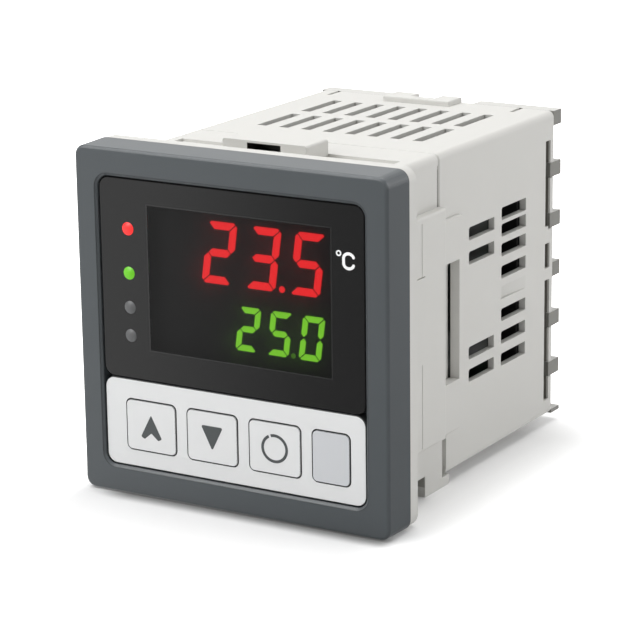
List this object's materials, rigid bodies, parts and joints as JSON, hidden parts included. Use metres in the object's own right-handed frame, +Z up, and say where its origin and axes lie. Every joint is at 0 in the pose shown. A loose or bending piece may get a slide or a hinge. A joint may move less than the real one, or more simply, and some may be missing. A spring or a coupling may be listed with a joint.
{
  "type": "panel temperature controller",
  "caption": "Square panel controller with a lit display, a row of keys, a vented clip-on rear case and screw terminals behind barrier ribs.",
  "frame": {"origin": "middle of the underside, on the plane of the lower edge of the bezel and flange and of the soles of the two lower feet", "axes": "+Y runs from the front face into the panel, +Z is up, +X is to the right for someone who reads the display"},
  "size_m": [0.048, 0.0594, 0.0485],
  "materials": {
    "bezel_plastic": "fine satin texture, dark slate grey",
    "window_smoke": "smoked, glossy",
    "keypad_white": "satin, light grey-white",
    "key_grey": "satin, light grey",
    "display_face": "dull dark face with lit bars",
    "light_red": "lit red",
    "light_green": "lit green",
    "indicator_grey": "clear, unlit",
    "chip_white": "light chip",
    "housing_plastic": "fine matt moulding, light grey",
    "terminal_plastic": "matt, mid grey",
    "screw_steel": "nickel plated",
    "contact_metal": "tinned brass",
    "board_green": "solder mask",
    "black_plastic": "matt black",
    "core_steel": "stacked sheet steel",
    "coil_tape": "yellow tape",
    "relay_plastic": "black relay cover",
    "capacitor_sleeve": "shrunk sleeve",
    "varistor_coat": "coated disc",
    "can_metal": "drawn can"
  },
  "bodies": {
    "controller": {"front_bezel": "bezel_plastic", "display_window": "window_smoke", "keypad_plate": "keypad_white", "display_module": "display_face", "upper_digits": "light_red", "lower_digits": "light_green", "indicator_leds": "chip_white", "front_housing": "housing_plastic", "rear_case": "housing_plastic", "terminal_block": "terminal_plastic", "terminal_screws": "screw_steel", "display_board": "board_green", "power_board": "board_green", "control_board": "board_green", "power_header": "black_plastic", "control_header": "black_plastic", "transformer_core": "core_steel", "transformer_coil": "coil_tape", "output_relay": "relay_plastic", "alarm_relay": "relay_plastic", "bulk_capacitor": "capacitor_sleeve", "filter_capacitor": "capacitor_sleeve", "varistor": "varistor_coat", "microcontroller": "black_plastic", "crystal": "can_metal", "tact_switch_up": "black_plastic", "tact_switch_down": "black_plastic", "tact_switch_set": "black_plastic", "tact_switch_blank": "black_plastic", "indicator_red": "light_red", "indicator_green": "light_green", "indicator_upper_off": "indicator_grey", "indicator_lower_off": "indicator_grey", "terminal_contacts_left": "contact_metal", "terminal_contacts_right": "contact_metal"},
    "key_up": {"key_up": "keypad_white"},
    "key_down": {"key_down": "keypad_white"},
    "key_set": {"key_set": "keypad_white"},
    "key_blank": {"key_blank": "key_grey"}
  },
  "joints": [
    {"name": "key_up_press", "type": "slide", "parent": "controller", "child": "key_up", "axis": [0, 1, 0], "range_m": [0, 0.0003], "stiffness_N_per_m": 4000, "springref_m": -0.00005},
    {"name": "key_down_press", "type": "slide", "parent": "controller", "child": "key_down", "axis": [0, 1, 0], "range_m": [0, 0.0003], "stiffness_N_per_m": 4000, "springref_m": -0.00005},
    {"name": "key_set_press", "type": "slide", "parent": "controller", "child": "key_set", "axis": [0, 1, 0], "range_m": [0, 0.0003], "stiffness_N_per_m": 4000, "springref_m": -0.00005},
    {"name": "key_blank_press", "type": "slide", "parent": "controller", "child": "key_blank", "axis": [0, 1, 0], "range_m": [0, 0.0003], "stiffness_N_per_m": 4000, "springref_m": -0.00005}
  ]
}
